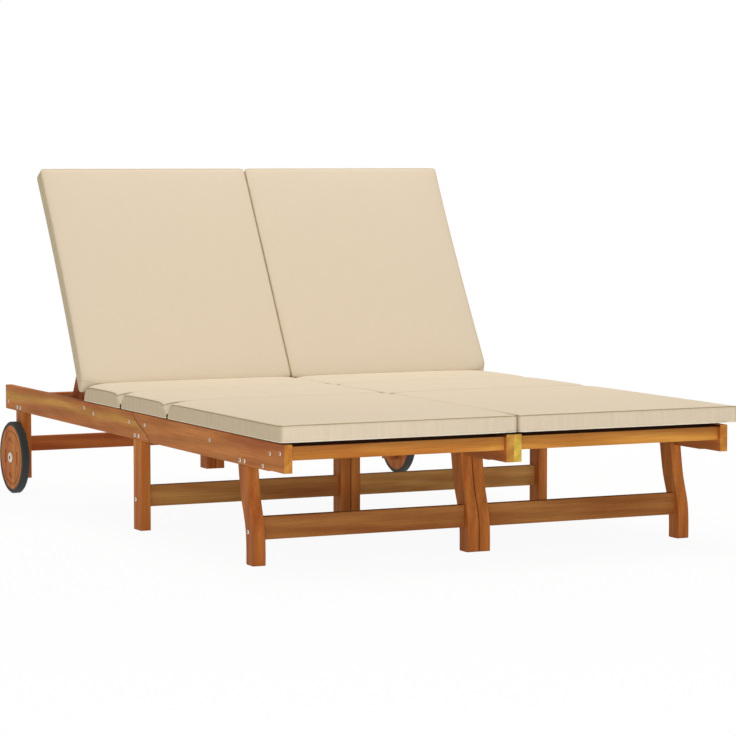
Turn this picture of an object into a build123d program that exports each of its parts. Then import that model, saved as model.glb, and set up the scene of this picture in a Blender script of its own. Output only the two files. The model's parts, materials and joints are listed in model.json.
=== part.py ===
"""A double wooden sun lounger: two bays side by side, each with its own slatted frame, a reclining
backrest on a folding prop and a four-pad cushion, and one wheel on each outer side at the head end.

The bench frame used for modelling has its zero at the left outer face, the foot end and the ground.
X runs across the lounger, Y from the foot end to the head end, Z up. The last step moves every piece
so that the origin lies on the ground under the middle of the whole lounger. Lengths are millimetres.
"""

import os
from math import cos, radians, sin

from build123d import *

# Overall frame
bay_width = 555.0
frame_length = 1835.0
rail_top = 281.0
rail_height = 64.0
rail_thickness = 19.0
edge_round = 2.0
edge_chamfer = 1.5

# Foot end of the side rails, where the lower edge steps up a little
foot_step_length = 85.0
foot_step_height = 2.5

# Ogee joint between the front and rear side rails
ogee_top = 896.0
ogee_bottom = 779.0
ogee_middle_slope = 15.0

# Legs
leg_thickness = 26.0
front_leg_thickness = 28.0
front_leg_foot = 184.5
front_leg_lean = 40.5
front_leg_foot_width = 45.0
front_leg_top_width = 50.0
mid_leg_place = 864.0
mid_leg_width = 48.0
wheel_leg_set_back = 108.0
wheel_leg_width = 49.0
wheel_leg_clearance = 41.0
foot_round = 6.0
tongue_gap = 2.0

# Stretchers between the legs
stretcher_thickness = 20.0
stretcher_height = 51.0
stretcher_rise = 55.0
stretcher_set_back = 22.0
wheel_stretcher_height = 39.0
wheel_stretcher_rise = 111.0
wheel_stretcher_set_back = 14.5
tenon_length = 14.0
tenon_shoulder = 5.0

# Crossbars between the side rails
crossbar_thickness = 19.0
foot_crossbar_height = 31.0
foot_crossbar_drop = 4.5
foot_crossbar_set_back = 12.0
seat_end_crossbar_height = 31.0
backrest_zone_length = 609.0
head_crossbar_height = 38.0
head_crossbar_rise = 2.0
head_crossbar_set_back = 22.0

# Seat slats and the bearers that carry them
slat_thickness = 12.0
slat_proud = 1.7
slat_width = 50.0
slat_gap = 17.5
slat_end_gap = 0.5
bearer_thickness = 15.0
bearer_height = 26.0

# Backrest frame and its hinge
back_angle = 60.0
hinge_set_back = 37.0
back_rail_height = 26.0
back_rail_thickness = 18.0
back_rail_length = 560.0
back_lap_length = 25.0
back_slat_start = 3.0
back_slat_count = 9
hinge_pin_radius = 4.0
clevis_ear_thickness = 3.0
clevis_ear_radius = 8.0
clevis_gap = 0.4
rest_gap = 0.4

# Folding prop under the backrest
prop_inset = 46.0
prop_leg_thickness = 18.0
prop_leg_width = 26.0
prop_side_gap = 2.0
prop_hinge_up_rail = 159.0
prop_length = 127.0
prop_bar_radius = 9.0
prop_bar_end_gap = 1.5
prop_pin_radius = 4.0
running_clearance = 0.05

# Notched racks that the prop's bar stands in
rack_thickness = 17.0
rack_clearance = 0.4
rack_notch_depth = 3.5
rack_hook_width = 14.0
rack_hook_drop = 5.0
rack_notch_angle_shares = (1.0, 0.8, 0.63, 0.48)

# Wheels
wheel_radius = 95.0
wheel_disc_radius = 85.0
wheel_disc_thickness = 18.0
tyre_width = 20.0
tyre_bevel = 3.0
wheel_gap = 3.5
wheel_ring_groove_radius = 70.0
wheel_groove_width = 2.5
wheel_groove_depth = 1.5
wheel_slot_radius = 48.0
wheel_slot_width = 12.0
wheel_slot_arc = 30.0
wheel_slot_count = 4
axle_radius = 6.0
axle_collar_radius = 12.0
axle_collar_gap = 0.25
axle_nut_radius = 10.0
axle_nut_height = 8.0
hub_cap_radius = 14.0
hub_cap_height = 4.0
hub_cap_bevel = 2.0
hub_cap_socket_radius = 5.0
hub_cap_socket_depth = 2.0

# Cushions
pad_width = 573.0
pad_thickness = 40.0
pad_crown = 4.5
pad_side_bulge = 5.0
pad_draw_in = 3.0
pad_rest_gap = 0.3
pad_gap = 1.0
cushion_overhang = 3.0
cushion_foot_start = 6.0
foot_pad_length = 663.5
middle_pad_length = 302.0
back_pad_length = 632.0
fold_clearance = 1.0
fold_gap = 0.2
pad_edge_crown_share = 0.3
pad_shoulder_crown_share = 0.5

# Fasteners
bolt_radius = 3.0
bolt_head_radius = 5.0
bolt_head_height = 2.0
bolt_head_bevel = 1.0
bolt_end_cover = 2.0
nut_height = 4.0
nut_radius = 6.0
screw_radius = 2.5
hole_clearance = 0.1
leg_bolt_rise = 10.0
leg_bolt_half_spacing = 12.0
stretcher_bolt_rise = 18.0
stretcher_bolt_bite = 35.0
spare_hole_set_back = 66.0
spare_hole_rise = 15.0
spare_hole_radius = 3.0
spare_hole_depth = 12.0
dowel_radius = 4.0
dowel_in_rail = 14.0
dowel_in_bar = 24.0
cut_overrun = 1.0

# Worked out from the sizes above
rail_bottom = rail_top - rail_height
wheel_leg_place = frame_length - wheel_leg_set_back
seat_end_crossbar_place = frame_length - backrest_zone_length
hinge_place = seat_end_crossbar_place + hinge_set_back
spare_hole_place = frame_length - spare_hole_set_back
slat_top = rail_top + slat_proud
slat_bottom = slat_top - slat_thickness
bearer_bottom = slat_bottom - bearer_height
tongue_top = bearer_bottom - tongue_gap
bay_inner = bay_width - rail_thickness
frame_width = bay_width + bay_width
hinge_height = slat_bottom - back_rail_height / 2
back_rail_outer = prop_inset + prop_leg_thickness + prop_side_gap
prop_hinge_depth = back_rail_height / 2 + prop_leg_width / 2
pad_back_level = back_rail_height / 2 + slat_thickness + pad_rest_gap
pad_front_level = pad_back_level + pad_thickness
seat_pad_base = slat_top + pad_rest_gap
seat_pad_top = seat_pad_base + pad_thickness
wheel_outer_face = wheel_gap + tyre_width
left_reach = wheel_outer_face + axle_collar_gap + hub_cap_height
cushion_right_end = pad_width + pad_gap + pad_width - cushion_overhang
right_reach = max(cushion_right_end, frame_width + left_reach)
middle_x = (right_reach - left_reach) / 2
middle_y = frame_length / 2

# How the back pad's lower front seam meets the seat cushion at the photographed angle
raised = radians(back_angle)
fold_seam_height = seat_pad_top + fold_clearance - hinge_height
fold_seam_up_rail = (fold_seam_height - pad_front_level * cos(raised)) / sin(raised)
back_pad_start = fold_seam_up_rail - pad_side_bulge
fold_place = hinge_place + fold_seam_up_rail * cos(raised) - pad_front_level * sin(raised)
seat_pad_end = fold_place - fold_gap + pad_side_bulge
middle_pad_start = cushion_foot_start + foot_pad_length + pad_gap
rear_pad_start = middle_pad_start + middle_pad_length + pad_gap

# Outline of the front legs: height as a share of the rail's lower edge, lean as a share of the whole lean
sabre_height_shares = (0.0, 0.2, 0.4, 0.52, 0.66, 0.82, 1.0)
sabre_lean_shares = (0.0, 0.0, 0.14, 0.36, 0.63, 0.83, 1.0)


def block(x0, x1, y0, y1, z0, z1):
    """A box between two opposite corners."""
    return Pos(x0, y0, z0) * Box(x1 - x0, y1 - y0, z1 - z0, align=(Align.MIN, Align.MIN, Align.MIN))


def bar_along_x(x0, x1, y, z, radius):
    """A round bar along X between two places."""
    return Pos(x0, y, z) * Rot(0, 90, 0) * Cylinder(radius, x1 - x0, align=(Align.CENTER, Align.CENTER, Align.MIN))


def six_sided_bar(x0, x1, y, z, radius):
    """A six-sided bar along X between two places: a nut, or a shank or bore that the wood hides."""
    return Pos(x0, y, z) * Rot(0, 90, 0) * extrude(RegularPolygon(radius, 6), amount=x1 - x0)


def side_face(points):
    """A face in the YZ plane from points given as (y, z)."""
    return make_face(Polyline(*[(0, y, z) for y, z in points], close=True))


def extrude_x(face, x0, x1):
    """A YZ face made solid from x0 to x1."""
    return Pos(x0, 0, 0) * extrude(face, amount=x1 - x0, dir=(1, 0, 0))


def ease_long_edges(solid, axis):
    """Rounds the long edges of a member, which run along the axis given."""
    along = solid.edges().filter_by(axis)
    longest = max(edge.length for edge in along)
    return fillet([edge for edge in along if edge.length > longest / 2], edge_round)


def bevel_long_edges(solid, axis):
    """Bevels the long edges of a member that the cushions or the frame hide."""
    along = solid.edges().filter_by(axis)
    longest = max(edge.length for edge in along)
    return chamfer([edge for edge in along if edge.length > longest / 2], edge_chamfer)


def mirrored(solid):
    """The right bay's twin of a left bay's piece."""
    return mirror(solid, about=Plane.YZ.offset(bay_width))


def to_inner(solid):
    """The piece for a bay's inner side, from the piece made for its outer side."""
    return mirror(solid, about=Plane.YZ.offset(bay_width / 2))


def on_backrest(solid):
    """Places a piece, drawn lying flat from the hinge, on the raised backrest."""
    return Pos(0, hinge_place, hinge_height) * Rot(back_angle, 0, 0) * solid


def bar_centre(angle):
    """Where the prop's bar is, in bench Y and Z, with the backrest at an angle in degrees."""
    a = radians(angle)
    along = (prop_hinge_up_rail + prop_length) * cos(a) + prop_hinge_depth * sin(a)
    up = (prop_hinge_up_rail - prop_length) * sin(a) - prop_hinge_depth * cos(a)
    return hinge_place + along, hinge_height + up


def bar_path_normal(angle):
    """The unit normal, towards the ground, of the path that the prop's bar takes."""
    a = radians(angle)
    run = -(prop_hinge_up_rail + prop_length) * sin(a) + prop_hinge_depth * cos(a)
    rise = (prop_hinge_up_rail - prop_length) * cos(a) + prop_hinge_depth * sin(a)
    length = (run * run + rise * rise) ** 0.5
    return -rise / length, run / length


def ogee():
    """The curved line of the joint, from the rail's top edge to its bottom edge."""
    middle = (0, (ogee_top + ogee_bottom) / 2, (rail_top + rail_bottom) / 2)
    slope = radians(ogee_middle_slope)
    upper = TangentArc(middle, (0, ogee_top, rail_top), tangent=(0, cos(slope), sin(slope)))
    lower = TangentArc(middle, (0, ogee_bottom, rail_bottom), tangent=(0, -cos(slope), -sin(slope)))
    return upper, lower


def front_rail():
    """The foot half of a side rail, with its stepped end and the upper half of the ogee joint."""
    upper, lower = ogee()
    step = rail_bottom + foot_step_height
    outline = Polyline(
        (0, ogee_bottom, rail_bottom),
        (0, foot_step_length + foot_step_height, rail_bottom),
        (0, foot_step_length, step),
        (0, 0, step),
        (0, 0, rail_top),
        (0, ogee_top, rail_top),
    )
    solid = extrude_x(make_face([*outline.edges(), upper, lower]), 0, rail_thickness)
    return ease_long_edges(solid, Axis.Y)


def rear_rail():
    """The head half of a side rail, with the lower half of the ogee joint."""
    upper, lower = ogee()
    outline = Polyline(
        (0, ogee_bottom, rail_bottom),
        (0, frame_length, rail_bottom),
        (0, frame_length, rail_top),
        (0, ogee_top, rail_top),
    )
    solid = extrude_x(make_face([*outline.edges(), upper, lower]), 0, rail_thickness)
    return ease_long_edges(solid, Axis.Y)


def sabre_edge(foot, top):
    """One edge of a front leg, from the ground to the rail, as points that lean towards the head."""
    return [
        (0, foot + (top - foot) * lean, rail_bottom * height)
        for height, lean in zip(sabre_height_shares, sabre_lean_shares)
    ]


def tongue(y0, y1, thickness):
    """The tongue that stands behind the rail and takes the leg's bolts."""
    return block(rail_thickness, thickness, y0, y1, rail_bottom, tongue_top)


def front_leg():
    """A sabre leg: straight and leaning under the rail, then turning upright towards its foot."""
    front_foot = front_leg_foot - front_leg_foot_width / 2
    rear_foot = front_leg_foot + front_leg_foot_width / 2
    front_top = front_leg_foot + front_leg_lean - front_leg_top_width / 2
    rear_top = front_leg_foot + front_leg_lean + front_leg_top_width / 2
    front = Spline(sabre_edge(front_foot, front_top))
    rear = Spline(sabre_edge(rear_foot, rear_top))
    foot = Line((0, front_foot, 0), (0, rear_foot, 0))
    shoulder = Line((0, front_top, rail_bottom), (0, rear_top, rail_bottom))
    solid = extrude_x(make_face([front, rear, foot, shoulder]), 0, front_leg_thickness)
    solid = chamfer(solid.edges().filter_by(GeomType.BSPLINE), edge_chamfer)
    heel = solid.faces().sort_by(Axis.Z)[0].edges().filter_by(Axis.X)
    solid = fillet(heel, foot_round)
    return solid + tongue(front_top, rear_top, front_leg_thickness)


def straight_leg(place, width, bottom):
    """An upright leg with its tongue, standing on the ground or ending above it."""
    y0 = place - width / 2
    y1 = place + width / 2
    solid = block(0, leg_thickness, y0, y1, bottom, rail_bottom)
    solid = ease_long_edges(solid, Axis.Z)
    return solid + tongue(y0, y1, leg_thickness)


def stretcher(outer_leg, front, rise, height):
    """A stretcher between two legs, with a stub tenon in the inner one."""
    outer = outer_leg
    inner = bay_width - outer_leg
    solid = block(outer, inner, front, front + stretcher_thickness, rise, rise + height)
    solid = ease_long_edges(solid, Axis.X)
    return solid + stretcher_tenon(inner, front, rise, height)


def stretcher_tenon(inner, front, rise, height):
    """The stub tenon at a stretcher's inner end."""
    return block(
        inner,
        inner + tenon_length,
        front + tenon_shoulder,
        front + stretcher_thickness - tenon_shoulder,
        rise + tenon_shoulder,
        rise + height - tenon_shoulder,
    )


def crossbar(front, bottom, height):
    """A crossbar between the side rails of a bay."""
    solid = block(rail_thickness, bay_inner, front, front + crossbar_thickness, bottom, bottom + height)
    return bevel_long_edges(solid, Axis.X)


def slat(y0, z0):
    """A slat across a bay, with its upper edges rounded."""
    x0 = rail_thickness + slat_end_gap
    solid = block(x0, bay_width - x0, y0, y0 + slat_width, z0, z0 + slat_thickness)
    top = solid.faces().sort_by(Axis.Z)[-1].edges().filter_by(Axis.X)
    return chamfer(top, edge_chamfer)


def seat_slats():
    """The seat's slats, evenly spread between the foot crossbar and the seat's end crossbar."""
    start = foot_crossbar_set_back + crossbar_thickness
    end = seat_end_crossbar_place - crossbar_thickness / 2
    count = int((end - start - slat_gap) / (slat_width + slat_gap))
    gap = (end - start - count * slat_width) / (count + 1)
    return [slat(start + gap + i * (slat_width + gap), slat_bottom) for i in range(count)]


def bearer():
    """The strip inside a side rail that the slats lie on; it also bridges the ogee joint."""
    start = foot_crossbar_set_back + crossbar_thickness
    end = seat_end_crossbar_place - crossbar_thickness / 2
    inner = rail_thickness + bearer_thickness
    return block(rail_thickness, inner, start, end, bearer_bottom, slat_bottom)


def back_rail():
    """A backrest rail lying flat, with its round hinge end, the prop's lug and the lap at its top end."""
    half = back_rail_height / 2
    lug = prop_leg_width / 2
    solid = block(0, back_rail_thickness, 0, back_rail_length, -half, half)
    lap_floor = head_crossbar_top() + rest_gap - hinge_height
    lap_start = back_rail_length - back_lap_length
    solid -= block(
        -cut_overrun,
        back_rail_thickness + cut_overrun,
        lap_start,
        back_rail_length + cut_overrun,
        -half - cut_overrun,
        lap_floor,
    )
    solid += bar_along_x(0, back_rail_thickness, 0, 0, half)
    solid += bar_along_x(0, back_rail_thickness, prop_hinge_up_rail, -prop_hinge_depth, lug)
    web = side_face(
        [
            (prop_hinge_up_rail - lug, -prop_hinge_depth),
            (prop_hinge_up_rail + lug, -prop_hinge_depth),
            (prop_hinge_up_rail + back_rail_height, -half),
            (prop_hinge_up_rail + back_rail_height, 0),
            (prop_hinge_up_rail - back_rail_height, 0),
            (prop_hinge_up_rail - back_rail_height, -half),
        ]
    )
    solid += extrude_x(web, 0, back_rail_thickness)
    bore = hinge_pin_radius + running_clearance
    solid -= bar_along_x(-cut_overrun, back_rail_thickness + cut_overrun, 0, 0, bore)
    pin_hole = prop_pin_radius + hole_clearance
    solid -= bar_along_x(
        -cut_overrun, back_rail_thickness + cut_overrun, prop_hinge_up_rail, -prop_hinge_depth, pin_hole
    )
    return Pos(back_rail_outer, 0, 0) * solid


def back_slats():
    """The backrest's slats, lying flat on its rails."""
    half = back_rail_height / 2
    room = back_rail_length - back_slat_start - back_slat_count * slat_width
    pitch = slat_width + room / (back_slat_count - 1)
    return [slat(back_slat_start + i * pitch, half) for i in range(back_slat_count)]


def head_crossbar_top():
    """Height of the head crossbar's upper edge."""
    return rail_bottom + head_crossbar_rise + head_crossbar_height


def hinge_clevis():
    """The steel clevis behind the seat's end crossbar that carries a backrest rail."""
    wall = seat_end_crossbar_place + crossbar_thickness / 2
    radius = clevis_ear_radius
    x0 = back_rail_outer - clevis_gap - clevis_ear_thickness
    x1 = back_rail_outer + back_rail_thickness + clevis_gap + clevis_ear_thickness
    plate = block(x0, x1, wall, wall + clevis_ear_thickness, hinge_height - radius, hinge_height + radius)
    ears = []
    for start in (x0, x1 - clevis_ear_thickness):
        stop = start + clevis_ear_thickness
        ear = block(start, stop, wall, hinge_place, hinge_height - radius, hinge_height + radius)
        ear += bar_along_x(start, stop, hinge_place, hinge_height, radius)
        ear -= bar_along_x(
            start - cut_overrun, stop + cut_overrun, hinge_place, hinge_height, hinge_pin_radius + running_clearance
        )
        ears.append(ear)
    return plate + ears[0] + ears[1]


def hinge_pin():
    """The headed pin through a clevis and the backrest rail."""
    x0 = back_rail_outer - clevis_gap - clevis_ear_thickness
    x1 = back_rail_outer + back_rail_thickness + clevis_gap + clevis_ear_thickness
    shank = bar_along_x(x0, x1, hinge_place, hinge_height, hinge_pin_radius)
    return shank + bar_along_x(x0 - bolt_head_height, x0, hinge_place, hinge_height, bolt_head_radius)


def prop_leg():
    """A prop leg lying flat under the backrest, from its pin to the bar at its far end."""
    half = prop_leg_width / 2
    x1 = prop_leg_thickness
    start = prop_hinge_up_rail
    end = start + prop_length
    solid = block(0, x1, start, end, -prop_hinge_depth - half, -prop_hinge_depth + half)
    solid += bar_along_x(0, x1, start, -prop_hinge_depth, half)
    solid += bar_along_x(0, x1, end, -prop_hinge_depth, half)
    bore = prop_pin_radius + running_clearance
    solid -= bar_along_x(-cut_overrun, x1 + cut_overrun, start, -prop_hinge_depth, bore)
    solid -= bar_along_x(-cut_overrun, x1 + cut_overrun, end, -prop_hinge_depth, prop_bar_radius)
    return Pos(prop_inset, 0, 0) * solid


def prop_pin():
    """The headed pin that hangs a prop leg on the lug of a backrest rail."""
    y = prop_hinge_up_rail
    x0 = prop_inset
    x1 = back_rail_outer + back_rail_thickness
    head = bar_along_x(x0 - running_clearance - bolt_head_height, x0 - running_clearance, y, 0, bolt_head_radius)
    shank = bar_along_x(x0 - running_clearance, x1, y, 0, prop_pin_radius)
    return Pos(0, 0, -prop_hinge_depth) * (shank + head)


def prop_bar():
    """The round bar through both prop legs, whose ends stand in the racks."""
    x0 = rail_thickness + prop_bar_end_gap
    end = prop_hinge_up_rail + prop_length
    return bar_along_x(x0, bay_width - x0, end, -prop_hinge_depth, prop_bar_radius)


def on_prop(solid):
    """Places a prop piece, drawn flat under the backrest, in its standing place."""
    hinge = Pos(0, prop_hinge_up_rail, -prop_hinge_depth)
    turned = hinge * Rot(-2 * back_angle, 0, 0) * hinge.inverse() * solid
    return on_backrest(turned)


def rack():
    """The notched strip inside a rear rail: a seat for the bar at the raised place, then lower notches."""
    reach = prop_bar_radius + rack_clearance
    y, z = bar_centre(back_angle)
    hook_top = z - rack_hook_drop
    angles = [back_angle * share for share in rack_notch_angle_shares]
    tips = []
    for high, low in zip(angles, angles[1:] + [2 * angles[-1] - angles[-2]]):
        angle = (high + low) / 2
        cy, cz = bar_centre(angle)
        ny, nz = bar_path_normal(angle)
        tips.append((cy + ny * reach, cz + nz * reach))
    hook_inner = y - (reach * reach - rack_hook_drop * rack_hook_drop) ** 0.5
    seat_middle = (0, y - reach * sin(radians(45)), z - reach * cos(radians(45)))
    seat = ThreePointArc((0, hook_inner, hook_top), seat_middle, (0, y, z - reach))
    lines = [seat, Line((0, y, z - reach), (0, *tips[0]))]
    for first, second in zip(tips, tips[1:]):
        floor_y = (first[0] + second[0]) / 2
        floor_z = (first[1] + second[1]) / 2 - rack_notch_depth
        lines.append(ThreePointArc((0, *first), (0, floor_y, floor_z), (0, *second)))
    last_y, last_z = tips[-1]
    start = hook_inner - rack_hook_width
    lines += Polyline(
        (0, last_y, last_z),
        (0, last_y, rail_bottom),
        (0, start, rail_bottom),
        (0, start, hook_top),
        (0, hook_inner, hook_top),
    ).edges()
    return extrude_x(make_face(lines), rail_thickness, rail_thickness + rack_thickness)


def ring_groove(radius, width, depth):
    """A ring to cut into a wheel's face."""
    outer = Cylinder(radius + width / 2, depth + cut_overrun, align=(Align.CENTER, Align.CENTER, Align.MIN))
    inner = Cylinder(radius - width / 2, depth + cut_overrun, align=(Align.CENTER, Align.CENTER, Align.MIN))
    return outer - inner


def wheel_disc():
    """The wheel's disc, with a ring groove and four curved slots sunk in its outer face."""
    disc = Cylinder(wheel_disc_radius, wheel_disc_thickness)
    disc -= Cylinder(axle_radius + running_clearance, wheel_disc_thickness + cut_overrun)
    face = wheel_disc_thickness / 2 - wheel_groove_depth
    disc -= Pos(0, 0, face) * ring_groove(wheel_ring_groove_radius, wheel_groove_width, wheel_groove_depth)
    half_arc = wheel_slot_arc / 2
    for i in range(wheel_slot_count):
        middle = i * 360 / wheel_slot_count
        ends = [Vector(wheel_slot_radius, 0).rotate(Axis.Z, middle + turn) for turn in (-half_arc, 0, half_arc)]
        slot = SlotArc(ThreePointArc(*ends), wheel_slot_width)
        disc -= Pos(0, 0, face) * extrude(slot, amount=wheel_groove_depth + cut_overrun)
    return disc


def tyre():
    """The rubber tyre around the disc."""
    ring = Cylinder(wheel_radius, tyre_width) - Cylinder(wheel_disc_radius, tyre_width + cut_overrun)
    outer = ring.edges().filter_by(GeomType.CIRCLE).sort_by(SortBy.RADIUS)[-2:]
    return chamfer(outer, tyre_bevel)


def on_wheel(solid):
    """Stands a wheel piece, drawn flat with its outer face up, outside the left wheel leg."""
    return Pos(-wheel_gap - tyre_width / 2, wheel_leg_place, wheel_radius) * Rot(0, -90, 0) * solid


def axle_bolt():
    """The shoulder bolt through a wheel leg, with a collar beside the leg and a nut sunk in it."""
    y = wheel_leg_place
    z = wheel_radius
    shank = bar_along_x(-wheel_outer_face - axle_collar_gap, leg_thickness, y, z, axle_radius)
    collar = bar_along_x(-wheel_gap + axle_collar_gap, 0, y, z, axle_collar_radius)
    sunk_nut = six_sided_bar(leg_thickness - axle_nut_height, leg_thickness, y, z, axle_nut_radius)
    return shank + collar + sunk_nut


def hub_cap():
    """The pale cap pressed on the axle's outer end, with a six-sided socket in it."""
    outer = -wheel_outer_face - axle_collar_gap - hub_cap_height
    cap = bar_along_x(outer, outer + hub_cap_height, wheel_leg_place, wheel_radius, hub_cap_radius)
    cap = chamfer(cap.edges().filter_by(GeomType.CIRCLE).sort_by(Axis.X)[0], hub_cap_bevel)
    floor = outer + hub_cap_socket_depth
    return cap - six_sided_bar(outer - cut_overrun, floor, wheel_leg_place, wheel_radius, hub_cap_socket_radius)


def pad_section(half_length, base, height, crown, bulge):
    """A pad's outline across its length: flat below, bulging at the sides and crowned above."""
    seam = half_length - bulge
    low = Line((0, -seam, base), (0, seam, base))
    right = ThreePointArc((0, seam, base), (0, half_length, base + height / 2), (0, seam, base + height))
    top = ThreePointArc((0, seam, base + height), (0, 0, base + height + crown), (0, -seam, base + height))
    left = ThreePointArc((0, -seam, base + height), (0, -half_length, base + height / 2), (0, -seam, base))
    return make_face([low, right, top, left])


def pad(length):
    """A cushion pad lying flat, centred, with its back at zero height: crowned, its long sides drawn in."""
    half = length / 2
    edge = pad_width / 2
    shoulder = edge - pad_side_bulge
    side_height = pad_thickness - 2 * pad_side_bulge
    side_crown = pad_edge_crown_share * pad_crown
    shoulder_crown = pad_shoulder_crown_share * pad_crown
    stations = (
        (-edge, half - pad_draw_in, pad_side_bulge, side_height, side_crown),
        (-shoulder, half, 0, pad_thickness, shoulder_crown),
        (0, half - pad_draw_in, 0, pad_thickness, pad_crown),
        (shoulder, half, 0, pad_thickness, shoulder_crown),
        (edge, half - pad_draw_in, pad_side_bulge, side_height, side_crown),
    )
    sections = [
        Pos(x, 0, 0) * pad_section(reach, base, height, crown, pad_side_bulge)
        for x, reach, base, height, crown in stations
    ]
    return loft(sections, ruled=True)


def pan_bolt(x0, x1, y, z, radius=bolt_radius):
    """A round-headed bolt along X with its head at the outer end, x0, and a shank with few faces."""
    head = bar_along_x(x0 - bolt_head_height, x0, y, z, bolt_head_radius)
    head = chamfer(head.edges().filter_by(GeomType.CIRCLE).sort_by(Axis.X)[0], bolt_head_bevel)
    return head + six_sided_bar(x0, x1, y, z, radius)


def leg_stations():
    """Each leg's place along the rail at bolt height, with its thickness."""
    return (
        (front_leg_foot + front_leg_lean, front_leg_thickness),
        (mid_leg_place, leg_thickness),
        (wheel_leg_place, leg_thickness),
    )


def stretcher_stations():
    """Each stretcher's front face, rise, height and the thickness of its legs."""
    front_leg_face = front_leg_foot - front_leg_foot_width / 2
    return {
        "front": (front_leg_face + stretcher_set_back, stretcher_rise, stretcher_height, front_leg_thickness),
        "mid": (
            mid_leg_place - mid_leg_width / 2 + stretcher_set_back,
            stretcher_rise,
            stretcher_height,
            leg_thickness,
        ),
        "wheel": (
            wheel_leg_place - wheel_leg_width / 2 + wheel_stretcher_set_back,
            wheel_stretcher_rise,
            wheel_stretcher_height,
            leg_thickness,
        ),
    }


def dowel_places():
    """Where the hidden dowels join the crossbars to the inner rail, as (y, z)."""
    return (
        (
            foot_crossbar_set_back + crossbar_thickness / 2,
            rail_top - foot_crossbar_drop - foot_crossbar_height / 2,
        ),
        (seat_end_crossbar_place, rail_top - seat_end_crossbar_height / 2),
        (
            frame_length - head_crossbar_set_back,
            rail_bottom + head_crossbar_rise + head_crossbar_height / 2,
        ),
    )


def drill(solid, holes):
    """Cuts each hole that meets the solid's own box."""
    for hole in holes:
        solid -= hole
    return solid


def bolt_height(rise=leg_bolt_rise):
    """Height of the bolts through the rails and the legs' tongues."""
    return rail_bottom + rise


def leg_bolt_lines():
    """The Y place of every bolt through a rail, with the leg's thickness."""
    return [
        (place + side * leg_bolt_half_spacing, thickness)
        for place, thickness in leg_stations()
        for side in (-1, 1)
    ]


# Holes, all along X from the outer face of the bay's outer side
bolt_bore = bolt_radius + hole_clearance
leg_bolt_holes = [
    six_sided_bar(-cut_overrun, thickness - bolt_end_cover + hole_clearance, y, bolt_height(), bolt_bore)
    for y, thickness in leg_bolt_lines()
]
bay_bolt_holes = [
    six_sided_bar(-cut_overrun, thickness + cut_overrun, y, bolt_height(), bolt_bore)
    for y, thickness in leg_bolt_lines()
]
stretcher_bolt_lines = [
    (front + stretcher_thickness / 2, rise + stretcher_bolt_rise, leg)
    for front, rise, height, leg in stretcher_stations().values()
]
stretcher_holes = [
    six_sided_bar(-cut_overrun, leg + stretcher_bolt_bite, y, z, screw_radius + hole_clearance)
    for y, z, leg in stretcher_bolt_lines
]
axle_hole = bar_along_x(-cut_overrun, leg_thickness, wheel_leg_place, wheel_radius, axle_radius)
axle_nut_pocket = six_sided_bar(
    leg_thickness - axle_nut_height - hole_clearance,
    leg_thickness + cut_overrun,
    wheel_leg_place,
    wheel_radius,
    axle_nut_radius + hole_clearance,
)
spare_hole = bar_along_x(
    -cut_overrun, spare_hole_depth, spare_hole_place, rail_bottom + spare_hole_rise, spare_hole_radius
)
dowels = [
    six_sided_bar(bay_inner - dowel_in_bar, bay_inner + dowel_in_rail, y, z, dowel_radius)
    for y, z in dowel_places()
]

pieces = {}


def add_pair(name, *solids):
    """Stores a left bay's solids under one name and their mirror images in the right bay."""
    pieces["left_" + name] = list(solids)
    pieces["right_" + name] = [mirrored(solid) for solid in solids]


def both_sides(solid):
    """A left bay's piece and its mirror image, for a name that both bays share."""
    return [solid, mirrored(solid)]


def all_four(solid):
    """A piece for the outer and inner sides of both bays."""
    return both_sides(solid) + both_sides(to_inner(solid))


# Side rails: the inner ones take the hidden dowels
plain_front = drill(front_rail(), leg_bolt_holes)
plain_rear = drill(rear_rail(), leg_bolt_holes)
add_pair("outer_front_rail", plain_front)
add_pair("outer_rear_rail", plain_rear - spare_hole)
add_pair("inner_front_rail", drill(to_inner(plain_front), dowels))
add_pair("inner_rear_rail", drill(to_inner(plain_rear), dowels))

# Legs and stretchers
legs = {
    "front": front_leg(),
    "mid": straight_leg(mid_leg_place, mid_leg_width, 0),
    "wheel": straight_leg(wheel_leg_place, wheel_leg_width, wheel_leg_clearance),
}
for name, leg in legs.items():
    front, rise, height, thickness = stretcher_stations()[name]
    inner_face = bay_width - thickness
    outer = drill(leg, leg_bolt_holes + stretcher_holes)
    if name == "wheel":
        outer = drill(outer, [axle_hole, axle_nut_pocket])
    inner = to_inner(drill(leg, bay_bolt_holes)) - stretcher_tenon(inner_face, front, rise, height)
    add_pair(name + "_legs", outer, inner)
    rung = drill(stretcher(thickness, front, rise, height), stretcher_holes)
    add_pair(name + "_stretcher", rung)

# Crossbars, slats, bearers and racks
foot_bar = crossbar(
    foot_crossbar_set_back, rail_top - foot_crossbar_drop - foot_crossbar_height, foot_crossbar_height
)
seat_end_bar = crossbar(
    seat_end_crossbar_place - crossbar_thickness / 2, rail_top - seat_end_crossbar_height, seat_end_crossbar_height
)
head_bar = crossbar(
    frame_length - head_crossbar_set_back - crossbar_thickness / 2,
    rail_bottom + head_crossbar_rise,
    head_crossbar_height,
)
add_pair("foot_crossbar", drill(foot_bar, dowels))
pieces["seat_end_crossbars"] = both_sides(drill(seat_end_bar, dowels))
pieces["head_crossbars"] = both_sides(drill(head_bar, dowels))
add_pair("seat_slats", *seat_slats())
pieces["slat_bearers"] = all_four(bearer())
pieces["prop_racks"] = all_four(rack())

# Backrests on their hinges
outer_back_rail = on_backrest(back_rail())
add_pair("back_rails", outer_back_rail, to_inner(outer_back_rail))
add_pair("back_slats", *[on_backrest(piece) for piece in back_slats()])
pieces["hinge_clevises"] = all_four(hinge_clevis())
pieces["hinge_pins"] = all_four(hinge_pin())

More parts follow.
